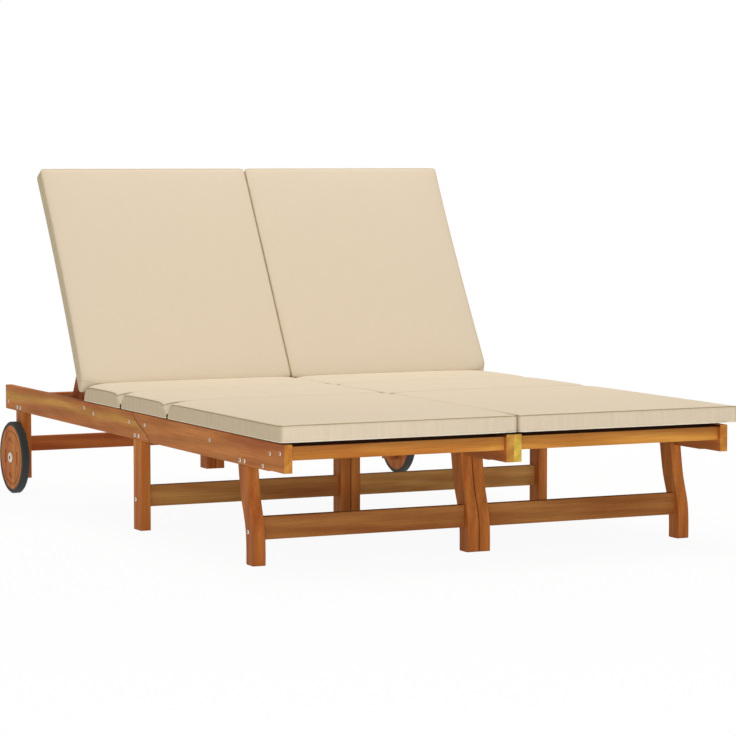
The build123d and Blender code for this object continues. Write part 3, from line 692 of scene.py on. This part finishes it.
# Each member's node, tint, grain and accents: first those of both bays, then the single ones
WOOD_NODES = (
    ("outer_front_rail", "rail", GRAIN_Y, (rail_shade_accent, end_accent("outer_end"))),
    ("outer_rear_rail", "rail", GRAIN_Y, (sapwood_accent,)),
    ("inner_rear_rail", "rail", GRAIN_Y, ()),
    ("front_legs", "leg", GRAIN_Z, (meeting_shade_accent,)),
    ("mid_legs", "mid_leg", GRAIN_Z, (meeting_shade_accent,)),
    ("wheel_legs", "leg", GRAIN_Z, (meeting_shade_accent,)),
    ("front_stretcher", "stretcher", GRAIN_X, ()),
    ("mid_stretcher", "mid_stretcher", GRAIN_X, ()),
    ("wheel_stretcher", "red_wood", GRAIN_X, ()),
    ("foot_crossbar", "crossbar", GRAIN_X, (crossbar_shade_accent,)),
    # The first seat slat's front face gets painted shade, in the joint's colour
    ("seat_slats", "slat", GRAIN_X, (end_accent("joint"),)),
    ("back_slats", "slat", GRAIN_X, ()),
    ("back_rails", "slat", GRAIN_BACK, ()),
    ("prop_legs", "red_wood", GRAIN_PROP, ()),
    ("prop_bar", "red_wood", GRAIN_X, ()),
    ("wheel_disc", "wheel", GRAIN_Z, (groove_shade_accent,)),
)
SINGLE_WOOD_NODES = (
    ("left_inner_front_rail", "rail", GRAIN_Y, (rail_shade_accent, end_accent("left_end"))),
    ("right_inner_front_rail", "rail", GRAIN_Y, (rail_shade_accent, end_accent("right_end"))),
    ("head_crossbars", "rail", GRAIN_X, ()),
    ("seat_end_crossbars", "rail", GRAIN_X, ()),
    ("slat_bearers", "slat", GRAIN_Y, ()),
    ("prop_racks", "slat", GRAIN_Y, ()),
    ("crossbar_dowels", "slat", GRAIN_X, ()),
)
# Painted light: members made paler than their twin, against the shade that falls on them
OTHER_TINTS = {"right_mid_stretcher": "lightened_far_stretcher"}


class LOUNGER_OT_wood(bpy.types.Operator):
    """Gives every wooden member its own grain and tone"""

    bl_idname = "lounger.wood"
    bl_label = "Finish the wood"

    def execute(self, context):
        settings = context.scene.lounger_wood
        wood_grain_group()
        front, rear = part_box("left_outer_front_rail"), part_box("left_outer_rear_rail")
        joint_ends = ((rear[0].y, front[0].z), (front[1].y, front[1].z))
        wanted = [(f"{side}_{name}", *rest) for name, *rest in WOOD_NODES for side in SIDES]
        for i, (name, tint, turn, accents) in enumerate([*wanted, *SINGLE_WOOD_NODES], 1):
            colour = getattr(settings, OTHER_TINTS.get(name, tint))
            ends = joint_ends if name.endswith("_rail") else None
            shift = GRAIN_SHIFT * i
            material = wood_material(name, colour, turn, settings, shift, accents, ends)
            dress(frame["nodes"][name], material)
        return {"FINISHED"}


class LOUNGER_OT_metal(bpy.types.Operator):
    """Gives the bolts, hinges, hub caps and tyres their finish"""

    bl_idname = "lounger.metal"
    bl_label = "Finish the metal and rubber"

    def execute(self, context):
        settings = context.scene.lounger_metal
        zinc = hard_material("zinc_plate", settings.zinc, 900.0, 0.12, 0.38, 0.45)
        # Painted shade at the hub caps' centres, in the sockets' colour
        eye_shade = (centre_of("hub_caps"), settings.eye_shade_radius, settings.socket)
        cap = hard_material("hub_cap_plate", settings.cap, 500.0, 0.05, 0.4, 0.3, eye_shade)
        rubber = hard_material("tyre_rubber", settings.rubber, 700.0, 0.3, 0.7)
        # Painted shade: the bolts between the bays get a dark plate
        bronze = hard_material("bronze_finish", settings.bronze, 900.0, 0.2, 0.5, 0.6)
        for name in ("leg_bolts", "stretcher_screws", "axle_bolts", "hinge_clevises", "hinge_pins"):
            dress(frame["nodes"][name], zinc)
        dress(frame["nodes"]["bay_bolts"], bronze)
        dress(frame["nodes"]["hub_caps"], cap)
        for side in SIDES:
            dress(frame["nodes"][side + "_prop_pins"], zinc)
            dress(frame["nodes"][side + "_wheel_tyre"], rubber)
        return {"FINISHED"}


def screw_places():
    """Each rail screw's place along the rail and its height."""
    low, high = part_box("left_outer_front_rail")
    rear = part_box("left_outer_rear_rail")
    bars = ("left_foot_crossbar", "seat_end_crossbars", "head_crossbars")
    places = [centre_of(name).yz for name in bars]
    joint = (high.y + rear[0].y) / 2
    line = [low.y + place for place in FRONT_SCREWS] + [joint + place for place in JOINT_SCREWS]
    line.append(places[1][0] - SEAT_END_SCREW)
    places += [(y, high.z - SCREW_DROP) for y in line]
    places.append((low.y + LOW_SCREW[0], rear[0].z + LOW_SCREW[1]))
    return places


def bolt_places():
    """Each leg bolt's and stretcher screw's place and height."""
    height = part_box("left_outer_rear_rail")[0].z + BOLT_RISE
    places = []
    for leg, middle in BOLT_MIDDLES:
        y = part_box(f"left_{leg}_legs")[0].y + middle
        bar = f"left_{leg}_stretcher"
        places += [(y - BOLT_SPREAD, height), (y + BOLT_SPREAD, height)]
        places.append((centre_of(bar).y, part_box(bar)[0].z + STRETCHER_SCREW_RISE))
    return places


def make_head(radius, height, socket_share, metal, dark):
    """A screw's head that faces -X from the origin, with a bevelled rim and a sunk socket."""
    head = cylinder(radius, height, (-height / 2, 0, 0))
    dress(head, metal, dark)
    rim = height * RIM_SHARE

    def faces_out(polygon):
        return polygon.normal.x < -0.99 and len(polygon.vertices) > 4

    with editing(head, faces_out):
        bpy.ops.mesh.bevel(offset=rim, segments=3, affect="EDGES")
    with editing(head, faces_out):
        bpy.ops.mesh.inset(thickness=(radius - rim) * (1 - socket_share))
        bpy.ops.mesh.extrude_region_move(TRANSFORM_OT_translate={"value": (rim, 0, 0)})
        head.active_material_index = 1
        bpy.ops.object.material_slot_assign()
    bpy.ops.object.shade_smooth_by_angle(angle=math.radians(35))
    return head


def set_heads(name, pattern, places, left_face, right_face):
    """Copies a head to every place on both outer faces and joins the copies."""
    heads = []
    for face, turn in ((left_face, 0), (right_face, math.pi)):
        for y, z in places:
            choose(pattern)
            bpy.ops.object.duplicate()
            head = bpy.context.object
            tune(head, location=(face, y, z), rotation_euler=(0, 0, turn))
            settle(head)
            heads.append(head)
    choose(pattern)
    bpy.ops.object.delete()
    piece = join(heads, name)
    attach(piece, "frame")


class LOUNGER_OT_screws(bpy.types.Operator):
    """Makes the rail screws and the domed heads of the leg bolts"""

    bl_idname = "lounger.screws"
    bl_label = "Drive the screws"

    def execute(self, context):
        settings = context.scene.lounger_metal
        zinc = bpy.data.materials["zinc_plate"]
        dark = hard_material("socket_shade", settings.socket, 900.0, 0.2, 0.6)
        share = settings.socket_share
        left_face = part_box("left_outer_front_rail")[0].x
        right_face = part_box("right_outer_front_rail")[1].x
        head = make_head(settings.head_radius, settings.head_height, share, zinc, dark)
        set_heads("rail_screws", head, screw_places(), left_face, right_face)
        low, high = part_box("leg_bolts")
        radius = (high.z - low.z) / 2
        dome = make_head(radius * 0.86, settings.dome_height, share, zinc, dark)
        set_heads("bolt_domes", dome, bolt_places(), low.x, high.x)
        return {"FINISHED"}


# Cushions


def round_corners(piece, half_x, half_y, radius):
    """Moves the vertices of a pad's corners on to arcs."""
    straight_x, straight_y = half_x - radius, half_y - radius
    for vertex in piece.data.vertices:
        x, y, z = vertex.co
        u, v = (abs(x) - straight_x) / radius, (abs(y) - straight_y) / radius
        if u > 0 and v > 0:
            x = math.copysign(straight_x + radius * u * math.sqrt(1 - v * v / 2), x)
            y = math.copysign(straight_y + radius * v * math.sqrt(1 - u * u / 2), y)
            vertex.co = (x, y, z)


def lay_flat_map(piece):
    """Writes each face's own flat coordinates, in metres, to a UV map."""
    mesh = piece.data
    layer = mesh.uv_layers.new(name="flat")
    for polygon in mesh.polygons:
        normal = polygon.normal
        for index in polygon.loop_indices:
            x, y, z = mesh.vertices[mesh.loops[index].vertex_index].co
            flat = (x, z + BORDER_SHIFT)
            if abs(normal.z) > 0.7:
                flat = (x, y)
            elif abs(normal.x) > abs(normal.y):
                flat = (y, z + 2 * BORDER_SHIFT)
            layer.data[index].uv = flat


def swell(piece, settings, half_x, half_y, folds, inner):
    """Runs the cloth on a pad and keeps each point within its cap."""
    before = [vertex.co.copy() for vertex in piece.data.vertices]
    choose(piece)
    bpy.ops.object.modifier_add(type="CLOTH")
    cloth = piece.modifiers[-1]
    cloth.settings.effector_weights.gravity = 0
    tune(
        cloth.settings,
        use_pressure=True,
        uniform_pressure_force=settings.pressure,
        vertex_group_shrink="seams",
        shrink_min=0.0,
        shrink_max=settings.gather,
        quality=5,
        bending_stiffness=0.3,
    )
    tune(cloth.point_cache, frame_start=1, frame_end=settings.frames)
    scene = bpy.context.scene
    for frame_number in range(1, settings.frames + 1):
        scene.frame_set(frame_number)
    bpy.ops.object.modifier_apply(modifier=cloth.name)
    scene.frame_set(1)
    top = max(co.z for co in before)
    for vertex, start in zip(piece.data.vertices, before):
        moved = vertex.co - start
        vertex.co = start
        meets = (start.x * inner > 0, folds[start.y > 0])
        if start.z > top - TINY:
            falls = [FOLD_FALL if meeting else FREE_FALL for meeting in meets]
            across = max(0.0, 1 - abs(start.x / half_x) ** falls[0])
            along = max(0.0, 1 - abs(start.y / half_y) ** falls[1])
            lifted = min(max(moved.z, 0.0), settings.crown)
            vertex.co.z += (1 - CLOTH_SHARE) * settings.crown * across * along + CLOTH_SHARE * lifted
        for axis, meeting in enumerate(meets):
            room = NEIGHBOUR_ROOM if meeting else settings.side_fill
            outward = math.copysign(1, start[axis]) * moved[axis]
            vertex.co[axis] += math.copysign(max(-settings.draw, min(room, outward)), start[axis])


def gathers(place):
    """Uneven gathers along a seam, from -1 to 1, by the place along it in metres."""
    turns = 2 * math.pi * place
    return sum(share * math.sin(turns / length + start) for share, length, start in GATHERS)


def sew(piece, settings, half_x, half_y, height, folds, inner):
    """Shapes a pad's border: gathered, sagging at its free side and leaning from each fold line."""
    for vertex in piece.data.vertices:
        x, y, z = vertex.co
        from_side = max(0.0, half_x - abs(x))
        from_end = max(0.0, half_y - abs(y))
        level = max(0.0, min(1.0, z / height))
        dip = math.exp(-(from_side + from_end) / settings.dip_reach)
        if x * inner < 0:
            reach = settings.sag_reach if level > 0.5 else SAG_REACH_BELOW
            free_end = 1.0 if folds[y > 0] else 1 - math.exp(-from_end / settings.sag_reach)
            z -= settings.side_sag * free_end * math.exp(-from_side / reach)
        if folds[y > 0]:
            notch = INNER_NOTCH if x * inner > 0 else 1.0
            z -= notch * level * settings.corner_dip * dip
            corner = math.exp(-(from_end + from_side) / settings.fold_reach)
            y -= math.copysign(notch * settings.fold_lean * level * level * corner, y)
        if min(from_side, from_end) < 2 * TINY:
            depth = settings.pucker * (GATHER_WAIST + (1 - GATHER_WAIST) * abs(2 * level - 1))
            if from_side < from_end:
                x += math.copysign(depth * gathers(y), x)
            else:
                y += math.copysign(depth * gathers(x + END_GATHER_SHIFT), y)
        vertex.co = (x, y, z)


def seam_cord(piece, group, radius, material):
    """A cord along one of a pad's seams."""
    index = piece.vertex_groups[group].index
    choose(piece)
    with editing(piece, lambda v: any(g.group == index and g.weight > 0.9 for g in v.groups), "VERT"):
        bpy.ops.mesh.duplicate()
        bpy.ops.mesh.separate(type="SELECTED")
    cord = [o for o in bpy.context.selected_objects if o is not piece][0]
    choose(cord)
    with editing(cord, kind="VERT"):
        bpy.ops.mesh.delete(type="ONLY_FACE")
    bpy.ops.object.convert(target="CURVE")
    tune(bpy.context.object.data, bevel_depth=radius, bevel_resolution=1)
    bpy.ops.object.convert(target="MESH")
    cord = bpy.context.object
    layer = cord.data.uv_layers.get("flat") or cord.data.uv_layers.new(name="flat")
    for loop in cord.data.loops:
        co = cord.data.vertices[loop.vertex_index].co
        layer.data[loop.index].uv = (co.x + co.y, co.z + co.y)
    dress(cord, material)
    return cord


def make_pad(node, length, width, settings, folds, inner, drawn_in, cloths):
    """One boxed pad, named after its node, that lies flat at the origin.

    folds says which ends are fold lines, and inner which way along X the other bay's pad lies.
    """
    half_x = width / 2 - settings.piping
    half_y = length / 2 - settings.piping
    height = settings.thickness - 2 * settings.piping
    columns = max(8, round(2 * half_x / settings.cell))
    rows = max(8, round(2 * half_y / settings.cell))
    levels = 5
    bpy.ops.mesh.primitive_grid_add(x_subdivisions=columns, y_subdivisions=rows, size=1)
    pad = bpy.context.object
    pad.scale = (2 * half_x, 2 * half_y, 1)
    settle(pad)
    with editing(pad):
        for _ in range(levels):
            bpy.ops.mesh.extrude_region_move(TRANSFORM_OT_translate={"value": (0, 0, height / levels)})
        bpy.ops.mesh.select_all(action="SELECT")
        bpy.ops.mesh.normals_make_consistent(inside=False)
    lay_flat_map(pad)
    seams = pad.vertex_groups.new(name="seams")
    for label, z in (("lower_seam", 0.0), ("upper_seam", height)):
        ring = [
            v.index
            for v in pad.data.vertices
            if abs(v.co.z - z) < TINY
            and (abs(v.co.x) > half_x - TINY or abs(v.co.y) > half_y - TINY)
        ]
        pad.vertex_groups.new(name=label).add(ring, 1.0, "REPLACE")
        seams.add(ring, 1.0, "REPLACE")
    round_corners(pad, half_x, half_y, settings.corner)
    swell(pad, settings, half_x, half_y, folds, inner)
    choose(pad)
    apply_modifier(pad, "SUBSURF", levels=1, render_levels=1)
    for vertex in pad.data.vertices:
        if vertex.co.x * inner < 0:
            vertex.co.x *= 1 + (drawn_in / half_x) * ((vertex.co.y / half_y) ** 2 - 1)
    sew(pad, settings, max(v.co.x for v in pad.data.vertices), half_y, height, folds, inner)
    cover, seam, hem = cloths
    upper = seam_cord(pad, "upper_seam", settings.piping, seam)
    lower = seam_cord(pad, "lower_seam", settings.piping, hem)
    dress(pad, cover)
    join([pad, upper, lower], node + "_cushion")
    pad.vertex_groups.clear()
    choose(pad)
    bpy.ops.object.shade_smooth_by_angle(angle=math.radians(60))
    return pad


class LOUNGER_OT_cushions(bpy.types.Operator):
    """Makes the six seat pads and the two back pads"""

    bl_idname = "lounger.cushions"
    bl_label = "Make the cushions"

    def execute(self, context):
        settings = context.scene.lounger_cushions
        canvas_group()
        cloths = (
            canvas_material("cushion_canvas", settings.cover, settings),
            canvas_material("seam_canvas", settings.seam, settings),
            canvas_material("hem_canvas", settings.hem, settings),
        )
        back_cloths = (cloths[0], canvas_material("piping_canvas", settings.piped, settings), cloths[2])
        for side, inner in zip(SIDES, (1, -1)):
            for name, folds in SEAT_PADS:
                node = f"{side}_{name}"
                low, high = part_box(node)
                size = (high.y - low.y, high.x - low.x)
                pad = make_pad(node, *size, settings, folds, inner, 0.0, cloths)
                pad.location = (*centre_of(node).xy, low.z + settings.piping)
                self.finish(pad, node, "frame")
            node = side + "_back_pad"
            low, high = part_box(node)
            hinge = [j for j in frame["joints"] if j["name"] == side + "_backrest_hinge"][0]["pos_m"]
            size = (BACK_PAD_LENGTH, high.x - low.x)
            pad = make_pad(node, *size, settings, (True, False), inner, settings.waist, back_cloths)
            along = BACK_PAD_START + BACK_PAD_LENGTH / 2
            level = BACK_PAD_LEVEL + settings.piping
            pad.rotation_euler = (BACK_ANGLE, 0, 0)
            pad.location = (
                centre_of(node).x,
                hinge[1] + math.cos(BACK_ANGLE) * along - math.sin(BACK_ANGLE) * level,
                hinge[2] + math.sin(BACK_ANGLE) * along + math.cos(BACK_ANGLE) * level,
            )
            self.finish(pad, node, side + "_back_cushion")
        return {"FINISHED"}

    def finish(self, pad, node, body):
        """Settles a pad in its place, attaches it to its body and hides the node that it replaces."""
        settle(pad)
        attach(pad, body)
        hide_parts(node)


def make_tie(settings, x, y, z, material):
    """A flat loop of tape, sewn across a fold line at a pad's lower edge."""
    middle = (x, y, z + settings.tie_radius * TIE_HEIGHT_SHARE)
    tie = cylinder(settings.tie_radius, settings.tie_width, middle, end_fill_type="NOTHING")
    with editing(tie):
        bpy.ops.transform.resize(value=(1, TIE_DEPTH_SHARE, TIE_HEIGHT_SHARE), center_override=middle)
        bpy.ops.uv.smart_project()
    tie.data.uv_layers[0].name = "flat"
    apply_modifier(tie, "SOLIDIFY", thickness=settings.tie_thickness)
    apply_modifier(tie, "BEVEL", width=settings.tie_thickness * 0.3, segments=2)
    bpy.ops.object.shade_smooth_by_angle(angle=math.radians(40))
    dress(tie, material)
    return tie


class LOUNGER_OT_ties(bpy.types.Operator):
    """Makes the dark tape loops that join the seat pads at their fold lines"""

    bl_idname = "lounger.ties"
    bl_label = "Sew the tape loops"

    def execute(self, context):
        settings = context.scene.lounger_cushions
        tape = canvas_material("tie_tape", settings.tape, settings)
        ties = []
        for side in SIDES:
            for front_name, rear_name in (("foot_pad", "middle_pad"), ("middle_pad", "rear_pad")):
                low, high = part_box(f"{side}_{front_name}")
                line = (high.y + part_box(f"{side}_{rear_name}")[0].y) / 2
                for x in (low.x + settings.tie_inset, high.x - settings.tie_inset):
                    ties.append(make_tie(settings, x, line, low.z, tape))
        piece = join(ties, "cushion_ties")
        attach(piece, "frame")
        return {"FINISHED"}


class LOUNGER_OT_stage(bpy.types.Operator):
    """Sets up the floor, the light and the camera"""

    bl_idname = "lounger.stage"
    bl_label = "Set the stage"

    def execute(self, context):
        settings = context.scene.lounger_studio
        scene = context.scene
        scene.view_settings.view_transform = "Standard"
        bpy.ops.mesh.primitive_circle_add(
            vertices=96, radius=FLOOR_RADIUS, fill_type="NGON", location=(0, 0, -FLOOR_DROP)
        )
        floor = bpy.context.object
        floor.name = "floor"
        settle(floor)
        material, tree, shader = new_material("floor_white")
        matt = {"Base Color": (0.9, 0.9, 0.9, 1), "Roughness": 0.9, "Specular IOR Level": 0.0}
        wire(tree, shader, matt)
        place = add(tree, "TexCoord").outputs["Object"]
        away = add(tree, "VectorMath", {0: place}, operation="LENGTH").outputs["Value"]
        near = times(tree, ramp(tree, away, *SHADOW_FADE), settings.shadow_share)
        rays = add(tree, "LightPath").outputs
        seen = maths(tree, "MAXIMUM", rays["Is Camera Ray"], rays["Is Glossy Ray"])
        seen = maths(tree, "MAXIMUM", seen, rays["Is Transmission Ray"])
        bright = times(tree, seen, minus(tree, 1.0, near))
        white = add(tree, "Emission", {"Color": (1, 1, 1, 1), "Strength": 1.0})
        sockets = {0: bright, 1: shader.outputs[0], 2: white.outputs[0]}
        blend = add(tree, "MixShader", sockets)
        put(tree, tree.nodes["Material Output"].inputs["Surface"], blend.outputs[0])
        dress(floor, material)

        world = bpy.data.worlds.new("studio")
        scene.world = world
        world.use_nodes = True
        tree = world.node_tree
        seen = add(tree, "LightPath").outputs["Is Camera Ray"]
        sockets = {"Value": seen, "To Min": settings.ambient, "To Max": 1.0}
        strength = add(tree, "MapRange", sockets).outputs["Result"]
        tint = mix(tree, seen, WARM_LIGHT, (1, 1, 1))
        wire(tree, tree.nodes["Background"], {"Strength": strength, "Color": tint})

        for name, location, lean, turn, depth, power in LAMPS:
            bpy.ops.object.light_add(
                type="AREA", location=location, rotation=(math.radians(lean), 0, math.radians(turn))
            )
            lamp = bpy.context.object
            lamp.name = name
            energy = getattr(settings, power)
            tune(lamp.data, shape="ELLIPSE", size=LAMP_WIDTH, size_y=depth, energy=energy)

        bpy.ops.object.camera_add(
            location=CAMERA_PLACE,
            rotation=(math.radians(90 - CAMERA_TILT), 0, math.radians(-CAMERA_TURN)),
        )
        camera = bpy.context.object
        camera.name = "photo_camera"
        tune(camera.data, lens=settings.lens, sensor_width=36, clip_end=200)
        scene.camera = camera
        return {"FINISHED"}


class LOUNGER_PT_panel(bpy.types.Panel):
    """Shows each step's button with the sizes and colours that it reads"""

    bl_idname = "LOUNGER_PT_panel"
    bl_label = "Double sun lounger"
    bl_space_type = "VIEW_3D"
    bl_region_type = "UI"
    bl_category = "Lounger"

    def draw(self, context):
        for operator, group in STEPS.items():
            box = self.layout.box()
            box.operator(operator.bl_idname)
            settings = getattr(context.scene, group)
            for key in settings.__annotations__:
                box.prop(settings, key)


GROUPS = {
    "lounger_wood": LoungerWood,
    "lounger_metal": LoungerMetal,
    "lounger_cushions": LoungerCushions,
    "lounger_studio": LoungerStudio,
}
# Each operator in the order in which main() calls them, and the settings that it reads
STEPS = {
    LOUNGER_OT_wood: "lounger_wood",
    LOUNGER_OT_metal: "lounger_metal",
    LOUNGER_OT_screws: "lounger_metal",
    LOUNGER_OT_cushions: "lounger_cushions",
    LOUNGER_OT_ties: "lounger_cushions",
    LOUNGER_OT_stage: "lounger_studio",
}


def register():
    for cls in (*GROUPS.values(), *STEPS, LOUNGER_PT_panel):
        bpy.utils.register_class(cls)
    for name, cls in GROUPS.items():
        setattr(bpy.types.Scene, name, bpy.props.PointerProperty(type=cls))


def unregister():
    for name in GROUPS:
        delattr(bpy.types.Scene, name)
    for cls in (LOUNGER_PT_panel, *reversed(STEPS), *reversed(GROUPS.values())):
        bpy.utils.unregister_class(cls)


def main():
    """Builds every piece in order."""
    register()
    for operator in STEPS:
        module, name = operator.bl_idname.split(".")
        getattr(getattr(bpy.ops, module), name)()


if __name__ == "__main__":
    main()
